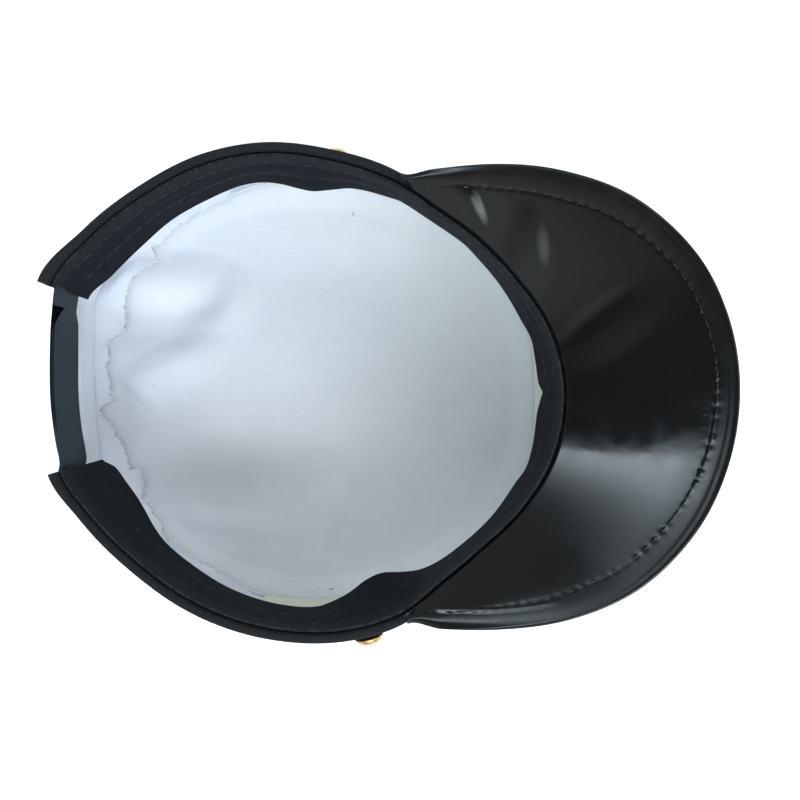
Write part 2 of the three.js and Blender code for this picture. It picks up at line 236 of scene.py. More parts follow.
rim = round_curve([
    (-162.5, 101.2), (-150, 96.9), (-135, 93.1), (-120, 91.8), (-100, 91.1), (-80, 91.1), (-68, 90.3),
    (-55, 86.9), (-42, 87.2), (-29, 90.6), (-15, 94), (0, 94.9), (14, 92.6), (28, 88.1), (42, 85), (56, 83.5),
    (70, 85.8), (85, 88), (100, 92), (115, 95.4), (130, 98.2), (145, 103), (157.5, 107.5), (163, 102.4),
    (170, 99.8), (178, 98.4), (186, 97.4), (192, 97.4),
])
seam = round_curve([
    (-168, 104.6), (-159, 106.8), (-149, 104), (-135, 101), (-120, 99), (-90, 95.6), (-60, 97), (-20, 101.3),
    (0, 99.4), (20, 100.5), (60, 97.3), (90, 97), (115, 102), (140, 107), (149, 110.6), (157.5, 111.6),
    (167, 107), (180, 103.6),
])
loose_edge = round_curve([
    (-162.5, 90.4), (-159.5, 86.4), (-155, 84.6), (-150, 83.4), (-145, 83.6), (-140, 84.6), (-135, 85.1),
    (-125, 84.7), (-115, 85.0), (-100, 85.0), (-90, 84.4), (-85, 82.2), (-80, 79.3), (-75, 76.0), (-70, 75.1),
    (-65, 77.5), (-60, 80.1), (-55, 81.3), (-45, 82.3), (-35, 83.8), (-25, 85.1), (-20, 86.8), (-14, 86.8),
    (-6, 86.3), (-2, 87.3), (0, 88.1), (2.5, 86.6), (8, 86.2), (14, 86.2), (20, 84.5), (30, 83.0), (40, 81.9),
    (50, 82.1), (60, 82.6), (70, 81.6), (80, 81.4), (86, 79.9), (91, 79.3), (95, 80.8), (100, 83.8),
    (105, 86.1), (110, 87.3), (120, 88.2), (130, 90.0), (140, 91.4), (150, 94.7), (158, 99.6),
])
print("band round its lower edge:", round(float(2 * math.pi * np.mean(rim(np.arange(360.0))))), "mm")

# %% [markdown]
# ## The wall between two curves
#
# The side panel leaves the band's edge, bulges a little and flares out to the crown's seam. Each layer of
# the wall is this surface, moved in or out by its depth. `ramp` is the soft step that blends one shape into
# another.

# %% The wall's surface


def ramp(value, low, high):
    t = np.clip((np.asarray(value, float) - low) / (high - low), 0, 1)
    return t * t * (3 - 2 * t)


def mix(a, b, share):
    return a + (b - a) * share


def spot(heading, radius, height):
    """Points at headings, radii and heights, in millimetres."""
    angle = np.radians(heading)
    return np.stack(np.broadcast_arrays(radius * np.cos(angle), radius * np.sin(angle), height), axis=-1)


def rim_height(heading):
    return RIM_HEIGHT + RIM_TILT * rim(heading) * np.cos(np.radians(heading))


def seam_radius(heading):
    angle = np.radians(heading)
    off = CROWN_CENTRE * np.sin(angle)
    return CROWN_CENTRE * np.cos(angle) + np.sqrt(seam(heading) ** 2 - off ** 2)


def openness(heading, full, none):
    """1 near the middle of the gap at the back, falling to 0 at an angle away from it."""
    behind = np.abs((np.asarray(heading, float) - OPEN_MIDDLE + 180) % 360 - 180)
    return 1 - ramp(behind, full, none)


def wall_radius(heading, height):
    top = rim_height(heading)
    down = np.clip((top - height) / (top - SEAM_HEIGHT), 0, 1)
    start = rim(heading) - CLOTH - GAP
    lateness = 2.2 - 0.7 * np.cos(np.radians(heading))
    flare = (seam_radius(heading) - start) * down ** lateness
    puff = 1.5 * np.sin(np.pi * down ** 1.5) ** 2
    drawn = 3 * openness(heading, 0, 24) * np.sin(np.pi * np.minimum(1, down / 0.62))
    return start + flare + puff - drawn


def wall_top(heading):
    return mix(rim_height(heading) - 2 * CLOTH - GAP, HEM_HEIGHT, openness(heading, 27, 43))


def soft_hill(x, y, middle_x, middle_y, half_length, half_width, turn):
    """1 at the middle of an oval, falling smoothly to 0 at its edge."""
    c, s = math.cos(math.radians(turn)), math.sin(math.radians(turn))
    along = ((x - middle_x) * c + (y - middle_y) * s) / half_length
    across = ((y - middle_y) * c - (x - middle_x) * s) / half_width
    return (1 - np.minimum(1, along ** 2 + across ** 2)) ** 2


FLOOR_FOLDS = [
    # middle x and y, half length, half width, turn and lift
    (-77, 51, 40, 17, 4, 5.6),
    (-72, 11, 34, 14, 22, 5.4),
    (-43, 42, 20, 12, 74, 2.8),
    (-88, 3, 20, 5, -42, 1.3),
    (-45, -60, 36, 8, -10, 1.2),
    (3, -54, 30, 8, 70, 1.2),
    (-5.4, -51.5, 23, 2.2, 70, 0.45),
]


def floor_height(x, y):
    """The top panel's outer face above the surface it lies on."""
    heading = np.degrees(np.arctan2(y, x - CROWN_CENTRE))
    share = np.hypot(x - CROWN_CENTRE, y) / seam(heading)
    height = (SEAM_HEIGHT - CLOTH - 2 * GAP) * ramp(share, 0.86, 1)
    for *oval, lift in FLOOR_FOLDS:
        height = height + lift * soft_hill(x, y, *oval) * (1 - ramp(share, 0.93, 1))
    return height


print("wall at the front, from rim to seam:",
      [round(float(wall_radius(0, z)), 1) for z in (97, 70, 40, 20, 6)])

# %% [markdown]
# ## A helper for cloth
#
# Cloth starts as a flat grid, as it does on the cutting table. `cloth` moves each point of the grid to its
# place on the hat, keeps the flat lengths as its UV map, so a weave drawn on the map keeps its size, and
# gives the sheet its thickness with a Solidify modifier.

# %% The cloth helper
HAT_PIECES = []


def grid_piece(name, columns, rows, place, flat_size):
    """A grid moved to place(along, across), with a UV map in millimetres of flat cloth."""
    bpy.ops.object.select_all(action="DESELECT")
    bpy.ops.mesh.primitive_grid_add(x_subdivisions=columns, y_subdivisions=rows, size=1)
    piece = bpy.context.object
    piece.name = name
    piece.data.name = name
    mesh = piece.data
    flat = np.empty(3 * len(mesh.vertices))
    mesh.vertices.foreach_get("co", flat)
    share = flat.reshape(-1, 3)[:, :2] + 0.5
    mesh.vertices.foreach_set("co", (place(share[:, 0], share[:, 1]) * MM).ravel())
    layer = mesh.uv_layers.active
    layer.name = "cloth"
    uv = np.empty(2 * len(mesh.loops))
    layer.data.foreach_get("uv", uv)
    uv = uv.reshape(-1, 2) * np.array(flat_size)
    layer.data.foreach_set("uv", uv.ravel())
    mesh.update()
    return piece


def tidy_edges(distance=0.00002):
    """Merges points that lie on each other, in the piece that was made last."""
    bpy.ops.object.mode_set(mode="EDIT")
    bpy.ops.mesh.select_all(action="SELECT")
    bpy.ops.mesh.remove_doubles(threshold=distance)
    bpy.ops.object.mode_set(mode="OBJECT")


def points_of(piece):
    """The piece's points, in millimetres."""
    return np.array([v.co for v in piece.data.vertices]) / MM


def mark(piece, name, values):
    """Gives each point of a piece a number, which its finish can read."""
    piece.data.attributes.new(name, "FLOAT", "POINT").data.foreach_set("value", values)


def thicken(piece, thickness):
    solid = piece.modifiers.new("thickness", "SOLIDIFY")
    solid.thickness = thickness * MM
    solid.offset = -1
    bpy.ops.object.modifier_apply(modifier=solid.name)


def cloth(name, columns, rows, place, flat_size, thickness, closed=False):
    piece = grid_piece(name, columns, rows, place, flat_size)
    if closed:
        tidy_edges()
    thicken(piece, thickness)
    bpy.ops.object.shade_smooth_by_angle(angle=math.radians(50))
    HAT_PIECES.append(piece)
    print(name, len(piece.data.polygons), "faces")
    return piece


# %% [markdown]
# ## Helpers for finishes
#
# A finish is a Principled BSDF with a few texture nodes in front of it. `add_node` makes a node and plugs
# it in, `threads` is one set of parallel yarns, and `relief` turns a height into a bump of a real depth.

# %% Finish helpers


def new_finish(name, colour, roughness, metallic=0.0, **sockets):
    finish = bpy.data.materials.new(name)
    finish.use_nodes = True
    surface = finish.node_tree.nodes["Principled BSDF"]
    surface.inputs["Base Color"].default_value = (*colour, 1)
    surface.inputs["Roughness"].default_value = roughness
    surface.inputs["Metallic"].default_value = metallic
    for socket, value in sockets.items():
        surface.inputs[socket.replace("_", " ")].default_value = value
    return finish


def add_node(finish, kind, wires, **settings):
    node = finish.node_tree.nodes.new("ShaderNode" + kind)
    for setting, value in settings.items():
        setattr(node, setting, value)
    for socket, value in wires.items():
        if isinstance(value, bpy.types.NodeSocket):
            finish.node_tree.links.new(value, node.inputs[socket])
        else:
            node.inputs[socket].default_value = value
    return node


def surface_of(finish):
    return finish.node_tree.nodes["Principled BSDF"]


def plug(finish, value, socket):
    finish.node_tree.links.new(value, surface_of(finish).inputs[socket])


def cloth_map(finish):
    return add_node(finish, "UVMap", {}, uv_map="cloth").outputs["UV"]


def hat_map(finish):
    """Object coordinates, in millimetres."""
    place = add_node(finish, "TexCoord", {}).outputs["Object"]
    return add_node(finish, "Mapping", {"Vector": place, "Scale": (1000, 1000, 1000)}).outputs["Vector"]


def mesh_value(finish, name):
    """A number that the mesh carries at each of its points."""
    return add_node(finish, "Attribute", {}, attribute_name=name).outputs["Fac"]


def threads(finish, where, pitch, direction, wander=0.5):
    wave = add_node(finish, "TexWave", {
        "Vector": where, "Scale": 0.314 / pitch, "Distortion": wander, "Detail": 1.0, "Detail Scale": 0.4,
    }, wave_type="BANDS", bands_direction=direction)
    return wave.outputs["Fac"]


def clouds(finish, where, size, stretch=(1, 1, 1), detail=3.0):
    scaled = add_node(finish, "Mapping", {"Vector": where, "Scale": stretch}).outputs["Vector"]
    wires = {"Vector": scaled, "Scale": 1 / size, "Detail": detail}
    return add_node(finish, "TexNoise", wires).outputs["Fac"]


def sums(finish, operation, a, b):
    return add_node(finish, "Math", {0: a, 1: b}, operation=operation).outputs[0]


def between(finish, share, low, high, blend="MIX"):
    """Two colours mixed by a share. The first is a colour or a node's output."""
    first = low if isinstance(low, bpy.types.NodeSocket) else (*low, 1)
    wires = {0: share, 6: first, 7: (*high, 1)}
    return add_node(finish, "Mix", wires, data_type="RGBA", blend_type=blend).outputs[2]


def levels(finish, share, low, high, to_low=0.0, to_high=1.0):
    return add_node(finish, "MapRange", {
        "Value": share, "From Min": low, "From Max": high, "To Min": to_low, "To Max": to_high,
    }).outputs["Result"]


def relief(finish, height, depth, under=None):
    wires = {"Height": height, "Distance": depth * MM, "Strength": 1.0}
    if under is not None:
        wires["Normal"] = under
    return add_node(finish, "Bump", wires).outputs["Normal"]


def dress(piece, finish):
    piece.data.materials.clear()
    piece.data.materials.append(finish)


floor_finish = new_finish("pale_floor", (0.90, 0.90, 0.90), 0.9, Emission_Color=(1, 1, 1, 1),
                          Emission_Strength=0.42)
grain = clouds(floor_finish, hat_map(floor_finish), 6.0)
plug(floor_finish, between(floor_finish, grain, (0.89, 0.89, 0.89), (0.91, 0.91, 0.91)), "Base Color")
floor.data.materials.append(floor_finish)

# %% [markdown]
# ## White cotton
#
# The crown is a plain-woven white cotton. Up close it has fine horizontal slubs, a faint cloudiness where
# the cloth is thicker, and a few dark specks of lint. All three are noise, stretched along the yarn.

# %% White cotton
white_cotton = new_finish("white_cotton", (0.80, 0.84, 0.90), 0.92, Specular_IOR_Level=0.2)
cotton_place = hat_map(white_cotton)
slubs = clouds(white_cotton, cotton_place, 0.7, (0.12, 1, 1), 2.0)
cloudy = clouds(white_cotton, cotton_place, 22.0)
cotton_tone = sums(white_cotton, "ADD", sums(white_cotton, "MULTIPLY", slubs, 0.5),
                   sums(white_cotton, "MULTIPLY", cloudy, 0.5))
cotton_colour = between(white_cotton, levels(white_cotton, cotton_tone, 0.3, 0.7),
                        (0.75, 0.785, 0.85), (0.81, 0.845, 0.91))


def paint_light_and_shade(finish, where, colour, tint, x, y, half_length, half_width, turn):
    """Multiplies the colour by a factor in a soft oval: painted light where it is above 1, painted shade
    where it is below.
    """
    inside = add_node(finish, "Mapping", {
        "Vector": where, "Location": (x, y, 0), "Rotation": (0, 0, math.radians(turn)),
        "Scale": (half_length, half_width, 1000),
    }, vector_type="TEXTURE").outputs["Vector"]
    share = add_node(finish, "TexGradient", {"Vector": inside}, gradient_type="SPHERICAL").outputs["Fac"]
    soft = add_node(finish, "MapRange", {"Value": share}, interpolation_type="SMOOTHSTEP").outputs["Result"]
    return between(finish, soft, colour, tint, "MULTIPLY")


# Painted light and shade on the lining: ovals above 1 paint light over the top and on fold slopes facing the
# lamps, ovals below 1 paint shade in the hollows and across the lower part.
for tint, *oval in [
    ((0.81, 0.80, 0.76), -40, -35, 58, 23, 4),
    ((1.08, 1.08, 1.10), 0, 66, 66, 22, 0),
    ((0.86, 0.87, 0.90), -80, 24, 32, 9, 6),
    ((0.80, 0.81, 0.84), -57, 36, 27, 11, 42),
    ((1.13, 1.13, 1.13), -76, 43, 32, 12, 4),
    ((1.10, 1.10, 1.10), -78, 4, 34, 20, 20),
    ((0.90, 0.90, 0.90), -94, -8, 16, 22, 0),
]:
    cotton_colour = paint_light_and_shade(white_cotton, cotton_place, cotton_colour, tint, *oval)
# Painted shadow under the cut edge of the turned-in seam allowance: the top panel's marked points are
# darkened towards grey.
shaded = sums(white_cotton, "MULTIPLY", mesh_value(white_cotton, "under_edge"),
              levels(white_cotton, slubs, 0.35, 0.65, 0.6, 1.0))
cotton_colour = between(white_cotton, shaded, cotton_colour, (0.56, 0.58, 0.62))
# Painted shade: the outer face of the side panel is painted darker, to tone down the strong light that falls
# on it.
outside = mesh_value(white_cotton, "outside")
cotton_colour = between(white_cotton, outside, cotton_colour, (0.62, 0.65, 0.70))
specks = levels(white_cotton, clouds(white_cotton, cotton_place, 0.55, (0.6, 1, 1), 0.0), 0.865, 0.90)
plug(white_cotton, between(white_cotton, specks, cotton_colour, (0.35, 0.40, 0.46)), "Base Color")
weave = sums(white_cotton, "ADD", threads(white_cotton, cotton_place, 0.55, "X"),
             threads(white_cotton, cotton_place, 0.55, "Y"))
weave_normal = relief(white_cotton, weave, 0.03)
plug(white_cotton, relief(white_cotton, slubs, 0.10, weave_normal), "Normal")

# %% [markdown]
# ## The top panel
#
# The top panel is a disc of cotton that lies on the floor, seen as the bottom of the hollow. A disc made as
# a fan of triangles gets a knot at its middle, so a square grid is pushed out into a round one instead: all
# its faces stay nearly square, and the soft folds bend evenly.

# %% The top panel


def disc_place(along, across):
    a, b = 2 * along - 1, 2 * across - 1
    round_x, round_y = a * np.sqrt(1 - b * b / 2), b * np.sqrt(1 - a * a / 2)
    heading = np.degrees(np.arctan2(round_y, round_x))
    radius = np.hypot(round_x, round_y) * seam(heading)
    x = CROWN_CENTRE + radius * np.cos(np.radians(heading))
    y = radius * np.sin(np.radians(heading))
    return np.stack([x, y, floor_height(x, y) + CLOTH], axis=-1)


crown_top = cloth("crown_top_panel", 212, 212, disc_place, (205, 196), CLOTH)
dress(crown_top, white_cotton)
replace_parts(crown_top, "crown_top")

# %% [markdown]
# ## The side panel and its raw edge
#
# The side panel stands on the seam, and its seam allowance is turned in over the top panel. The cut edge
# was never finished, so it is ragged: its width wanders, more so at the back, where the lining pulls.

# %% The side panel
RAW_EDGE = [
    # heading and the radius that the cut edge reaches, in millimetres
    (118, 99.4), (129.8, 101.7), (135.9, 103.2), (138.5, 101.6), (140.3, 104.4), (140.9, 101.5),
    (142.4, 98.2), (145.1, 99.9), (147.7, 101.8), (152.8, 102.3), (158.2, 100.0), (160.3, 98.2),
    (162.7, 97.3), (164.8, 100.0), (166.8, 102.9), (170.8, 101.5), (173.2, 101.4), (178.0, 99.3),
    (181.7, 98.4), (182.7, 101.2),
    (184.2, 104.1), (186.3, 101.7), (189.1, 99.6), (192.8, 97.6), (197.2, 96.3), (201.0, 98.0), (201.6, 92.4),
    (205.8, 94.0), (209.5, 96.8), (217.7, 96.6), (220.7, 98.6), (225.5, 97.6), (230.8, 97.0), (237.7, 95.4),
    (244.8, 94.6), (254.0, 94.4),
]
CORNER = 0.16
raw_heading, raw_radius = np.array(RAW_EDGE).T


def raw_reach(heading):
    """Width of the turned-in edge, with the small teeth of a frayed cut at the back."""
    turned = np.asarray(heading) % 360
    a = np.radians(heading)
    teeth = (0.32 * np.sin(61 * a + 2) + 0.28 * np.sin(137 * a) + 0.24 * np.sin(263 * a + 1)
             + 0.16 * np.sin(431 * a))
    width = seam_radius(turned) - np.interp(turned, raw_heading, raw_radius)
    behind = openness(heading, 60, 76)
    return mix(2.6, width, behind) + teeth * behind


def raw_place(heading, share):
    """A point of the turned-in edge. Share runs from the seam, 0, to the curled cut edge, 1."""
    place = spot(heading, seam_radius(heading) - raw_reach(heading) * share, 0.0)
    a = np.radians(heading)
    curl = 0.8 + 0.4 * np.sin(7 * a + 1) + 0.4 * np.sin(23 * a)
    buckle = 0.5 * np.sin(17 * a) * np.sin(np.pi * share)
    place[..., 2] = (floor_height(place[..., 0], place[..., 1]) + CLOTH + GAP
                     + (curl * share ** 2 + buckle + 0.35) * share ** 0.5 * openness(heading, 60, 95))
    return place


def side_place(along, across):
    heading = np.interp(along, [0, 0.25, 0.685, 1], [BAND_START, -105, 125, BAND_START + 360])
    turned = across < CORNER
    upward = np.clip((across - CORNER) / (1 - CORNER), 0, 1)
    height = mix(SEAM_HEIGHT, wall_top(heading), upward)
    wall = spot(heading, wall_radius(heading, height), height)
    flat = raw_place(heading, np.clip(1 - across / CORNER, 0, 1))
    return np.where(turned[:, None], flat, wall)


# Painted shadow under the cut edge: each point of the top panel gets how dark its cotton is painted,
# strongest just past the edge and near the middle of the back, and only at the back.
place = points_of(crown_top)
around = np.degrees(np.arctan2(place[:, 1], place[:, 0]))
covered = np.hypot(place[:, 0], place[:, 1]) - (seam_radius(around) - raw_reach(around))
past = np.maximum(-covered - 0.2, 0)
painted_edge_shadow = (np.exp(-past / 0.9) * (0.30 + 0.60 * np.exp(-(((around % 360 - 186) / 15) ** 2)))
         + 0.30 * np.exp(-past / 3.5)) * openness(around, 62, 80)
mark(crown_top, "under_edge", painted_edge_shadow)
print("points under the cut edge:", int((painted_edge_shadow > 0.5).sum()))

crown_side = cloth("crown_side_panel", 800, 50, side_place, (640, 100), 0.8, closed=True)
# Marks the side panel for its painted shade: the more a face points out from the hat's middle, the darker its
# cotton is painted.
facing = np.array([v.normal for v in crown_side.data.vertices])
place = points_of(crown_side)[:, :2]
radial = place / np.linalg.norm(place, axis=1)[:, None]
mark(crown_side, "outside", ramp(np.sum(facing[:, :2] * radial, axis=1), 0.1, 0.5))
dress(crown_side, white_cotton)
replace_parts(crown_side, "crown_side")

# %% [markdown]
# ## The stiffener
#
# Behind the front of the side panel is a strip of stiff cream interlining, which shows below the sweatband.

# %% The stiffener
cream = new_finish("cream_stiffener", (0.80, 0.80, 0.66), 0.85)
fibre = clouds(cream, cloth_map(cream), 0.8, (1, 1, 1), 4.0)
plug(cream, between(cream, fibre, (0.74, 0.75, 0.60), (0.86, 0.86, 0.74)), "Base Color")
plug(cream, relief(cream, fibre, 0.08), "Normal")
STIFFENER_START, STIFFENER_END = -106.5, 105.5


def stiffener_place(along, across):
    heading = mix(STIFFENER_START, STIFFENER_END, along)
    height = mix(SEAM_HEIGHT + CLOTH + GAP, rim_height(heading) - FOLD_DEPTH - 2, across)
    return spot(heading, wall_radius(heading, height) - 1.5 * CLOTH - 0.1, height)


stiffener = cloth("crown_stiffening", 300, 30, stiffener_place, (350, 78), 0.8)
dress(stiffener, cream)
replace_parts(stiffener, "crown_stiffener")

# %% [markdown]
# ## The black band
#
# The band is a black twill, folded over the hat's edge and down inside, behind the sweatband. Its section
# is a hook, and the grid follows the hook with more rows at the bend.

# %% Black twill
twill = new_finish("black_twill", (0.016, 0.018, 0.019), 0.78, Specular_IOR_Level=0.15)
twill_map = cloth_map(twill)
diagonal = add_node(twill, "Mapping", {"Vector": twill_map, "Rotation": (0, 0, math.radians(52))})
ribs = threads(twill, diagonal.outputs["Vector"], 0.62, "X", 2.5)
lint = clouds(twill, twill_map, 1.2, (1, 1, 1), 3.0)
rib_tone = sums(twill, "MULTIPLY", ribs, levels(twill, lint, 0.3, 0.7, 0.5, 1.2))
plug(twill, between(twill, rib_tone, (0.008, 0.009, 0.011), (0.030, 0.032, 0.035)), "Base Color")
plug(twill, relief(twill, ribs, 0.12), "Normal")

# %% [markdown]
# ### The band's shape
#
# The section runs up the outside of the wall, bends over the edge and comes down inside. At its free ends
# the outer layer stands away a little, because nothing holds it there. A Solidify modifier alone would make
# the cloth thick but could not fold it, so the fold is in the grid and Solidify only adds the thickness.

# %% The band
HOOK = [
    # share of the section, drop below the rim, distance in from the wall's outer face
    (0.00, BAND_HEIGHT, -CLOTH - GAP),
    (0.30, BAND_HEIGHT / 2, -CLOTH - GAP),
    (0.62, 2.2, -CLOTH - GAP),
    (0.68, 0.9, -CLOTH - GAP + 0.15),
    (0.73, 0.2, -CLOTH - GAP + 0.7),
    (0.77, 0.0, -0.2),
    (0.81, 0.0, 0.9),
    (0.85, 0.3, 1.7),
    (0.90, 1.2, 2.25),
    (1.00, FOLD_DEPTH, 2.35),
]


def band_place(along, across):
    heading = mix(BAND_START, BAND_END, along)
    share, drop, inset = np.array(HOOK).T
    height = rim_height(heading) - np.interp(across, share, drop)
    flare = (1.5 * ramp(along, 0.955, 1) + 0.6 * (1 - ramp(along, 0, 0.03))) * (1 - ramp(across, 0.74, 0.82))
    return spot(heading, wall_radius(heading, height) + flare - np.interp(across, share, inset), height)


hat_band = cloth("band_twill", 560, 50, band_place, (530, 50), 1.0)
dress(hat_band, twill)
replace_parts(hat_band, "hat_band")

# %% [markdown]
# ## The sweatband
#
# The sweatband is a strip of black cotton, stitched in at the edge and loose at its other edge, where it
# leans in and waves. Two rows of grey stitching run along it.

# %% Black cotton
sweat_cloth = new_finish("black_cotton", (0.014, 0.016, 0.022), 0.80, Specular_IOR_Level=0.12)
sweat_map = cloth_map(sweat_cloth)
sweat_weave = sums(sweat_cloth, "ADD", threads(sweat_cloth, sweat_map, 0.5, "X"),
                   threads(sweat_cloth, sweat_map, 0.5, "Y"))
sweat_cloud = clouds(sweat_cloth, sweat_map, 7.0)
sweat_tone = between(sweat_cloth, sweat_cloud, (0.008, 0.0095, 0.013), (0.012, 0.0145, 0.020))
up_the_band = add_node(sweat_cloth, "SeparateXYZ", {0: sweat_map}).outputs["Y"]
fluff = clouds(sweat_cloth, sweat_map, 0.8, (1, 1, 1), 4.0)
bound = sums(sweat_cloth, "MULTIPLY", levels(sweat_cloth, up_the_band, 25.5, 27.5),
             levels(sweat_cloth, fluff, 0.42, 0.62))
plug(sweat_cloth, between(sweat_cloth, bound, sweat_tone, (0.026, 0.030, 0.030)), "Base Color")
plug(sweat_cloth, relief(sweat_cloth, sweat_weave, 0.05), "Normal")

# %% [markdown]
# ### The sweatband's shape
#
# The strip runs from its seam at the top down to its loose edge, whose radius was measured every few
# degrees. A power curve keeps it close to the wall at first and lets it lean in towards the loose edge.

# %% The sweatband
BEHIND = 2 * (CLOTH + GAP) + CLOTH + GAP


def sweat_top(heading):
    near_peak = 1 - ramp(np.abs(heading), 62.5, 72.5)
    return rim_height(heading) + mix(-0.5, 1.6, near_peak)


def sweat_place(along, across):
    """Across runs from the loose edge, 0, up to the seam, 1."""
    heading = mix(BAND_START, BAND_END, along)
    down = 1 - across
    top = sweat_top(heading)
    height = mix(top, rim_height(heading) - SWEATBAND_DEPTH, down)
    start = wall_radius(heading, top) - BEHIND
    lean = mix(start, loose_edge(heading), down ** 1.6)
    wrinkled = 0.04 + 0.22 * np.exp(-(((heading - 98) / 24) ** 2))
    wave = np.sin(16 * across + 3 * np.sin(np.radians(3 * heading)))
    lean = lean + wrinkled * wave * np.sin(np.pi * across)
    radius = np.minimum(lean, wall_radius(heading, height) - BEHIND)
    return spot(heading, radius + CLOTH, height)


sweatband = cloth("sweatband_cotton", 560, 50, sweat_place, (500, 34), CLOTH)
dress(sweatband, sweat_cloth)
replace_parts(sweatband, "sweatband")

# %% [markdown]
# ## The elastic
#
# A wide ribbed elastic closes the band at the back. It stands on the crown's hem, stretched between the two
# ends of the band.

# %% The elastic
slate = new_finish("slate_elastic", (0.022, 0.032, 0.045), 0.55, Specular_IOR_Level=0.2)
elastic_map = cloth_map(slate)
elastic_ribs = threads(slate, elastic_map, 0.8, "Y", 0.2)
elastic_tone = between(slate, elastic_ribs, (0.014, 0.022, 0.033), (0.018, 0.029, 0.042))
# Painted shadow along the elastic's top edge, standing in for the shade of a curled edge: from 13.4 to 64 mm
# along the strip, a wedge 10 mm wide at its start that narrows to 2 mm, painted near black and without gloss.
along_elastic = add_node(slate, "SeparateXYZ", {0: elastic_map})
along_tape = along_elastic.outputs["X"]
curling = sums(slate, "POWER", levels(slate, along_tape, 14.0, 22.0, 1, 0), 1.8)
curl_shadow_width = levels(slate, curling, 0, 1, 2.0, 10.0)
painted_curl_shadow = levels(slate, sums(slate, "ADD", along_elastic.outputs["Y"], curl_shadow_width), 22.0, 22.3)
painted_curl_shadow = sums(slate, "MULTIPLY", painted_curl_shadow, levels(slate, along_tape, 13.4, 14.0))
painted_curl_shadow = sums(slate, "MULTIPLY", painted_curl_shadow, levels(slate, along_tape, 19.0, 25.0, 1, 0.75))
painted_curl_shadow = sums(slate, "MULTIPLY", painted_curl_shadow, levels(slate, along_tape, 57.0, 64.0, 1, 0))
plug(slate, between(slate, painted_curl_shadow, elastic_tone, (0.003, 0.004, 0.006)), "Base Color")
plug(slate, relief(slate, elastic_ribs, 0.05), "Normal")
plug(slate, levels(slate, painted_curl_shadow, 0, 1, 0.2, 0.0), "Specular IOR Level")
ELASTIC_START, ELASTIC_END = 153.5, 201.5
elastic_top = round_curve([
    (153.5, 104.8), (158.5, 102.2), (164.4, 99.7), (173.7, 97.2), (184.9, 96.2), (191.7, 96.2), (195.8, 96.6),
    (198.5, 98.8), (201.5, 99.7),
])
elastic_foot = round_curve([
    (153.5, 104.0), (158.4, 101.6), (161.7, 100.3), (164.6, 98.0), (172, 95.4), (180, 94.4), (189, 94.2),
    (195.8, 94.8), (198.5, 97.2), (201.5, 98.6),
])


def elastic_place(along, across):
    heading = mix(ELASTIC_START, ELASTIC_END, along)
    height = mix(HEM_HEIGHT + GAP, rim_height(heading) - CLOTH - GAP - 0.6, across)
    return spot(heading, mix(elastic_foot(heading), elastic_top(heading), across ** 0.8), height)


elastic = cloth("elastic_strip", 160, 36, elastic_place, (84, 22), 0.8)
dress(elastic, slate)
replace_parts(elastic, "back_elastic")

# %% [markdown]
# ## The peak
#
# The peak is a board covered in glossy black vinyl, with its edge turned round and stitched. Its section is
# a closed loop: along the face that shows, round the rolled edge, back along the other face. The gloss
# makes every small wave of the surface visible, so the waves are shaped in the mesh.

# %% The peak's outline
PEAK_SPAN = 66.5
PEAK_SLOPE = math.tan(math.radians(30))
peak_reach = round_curve([
    (-66.5, 2.9), (-60, 10.8), (-50, 22.4), (-40, 33.5), (-30, 41.7), (-20, 46.3), (-10, 48.8), (0, 49.9),
    (10, 49.7), (20, 47.5), (30, 42.0), (40, 32.1), (50, 20.7), (60, 9.1), (66.5, 2.4),
])


def peak_root(heading):
    return rim(heading) - 3 * CLOTH - GAP


outline_heading = np.linspace(-PEAK_SPAN, PEAK_SPAN, 900)
outline = spot(outline_heading, peak_root(outline_heading) + peak_reach(outline_heading), 0.0)[:, :2]
outline_length = np.concatenate([[0], np.cumsum(np.hypot(*np.diff(outline, axis=0).T))])


def from_outline(points):
    """How far points in plan lie from the peak's outline, and how far along it their nearest place is."""
    nearest = np.empty(len(points), int)
    for start in range(0, len(points), 4000):
        part = points[start:start + 4000]
        gaps = (part[:, None, 0] - outline[None, :, 0]) ** 2 + (part[:, None, 1] - outline[None, :, 1]) ** 2
        nearest[start:start + 4000] = np.argmin(gaps, axis=1)
    return np.hypot(*(points - outline[nearest]).T), outline_length[nearest]


print("peak round its edge:", round(float(outline_length[-1])), "mm")

# %% [markdown]
# ### The peak's surface
#
# Gloss shows slopes, not heights: a fold a millimetre high is a bright streak. Each fold is a soft oval hill
# or hollow, the seam is a shallow groove that the thread pulls in, and the section's corners are rounded with
# a sliding average. The loop is left open where the peak ends, so those two ends are filled in edit mode.

# %% The peak's surface
STITCH_PITCH = 4.2
PEAK_THICK = 2.2
PEAK_DOME = 1.2
PEAK_FOLDS = [
    # middle x and y, half length, half width, turn and lift
    (57.6, 63.7, 12.5, 4.8, -64, 1.15),
    (77.1, 48.8, 17.5, 8.8, -80, 1.3),
    (69.5, 55.0, 15.0, 5.0, -68, -0.4),
    (98.0, 24.5, 18.0, 5.0, 42, -0.4),
    (105.0, 20.5, 22.0, 9.5, 44, 0.45),
]
HEM_WIDTHS = [(-66, 5.0), (-56, 5.6), (-46, 7.6), (-36, 8.6), (-22, 8.0), (-8, 6.4), (4, 6.2), (16, 6.8),
              (28, 8.0), (38, 8.6), (46, 8.0), (56, 5.8), (66, 5.0)]


def hem_width(x, y):
    """The row of stitching lies nearer the edge in front than at the sides."""
    return np.interp(np.degrees(np.arctan2(y, x)), *zip(*HEM_WIDTHS))


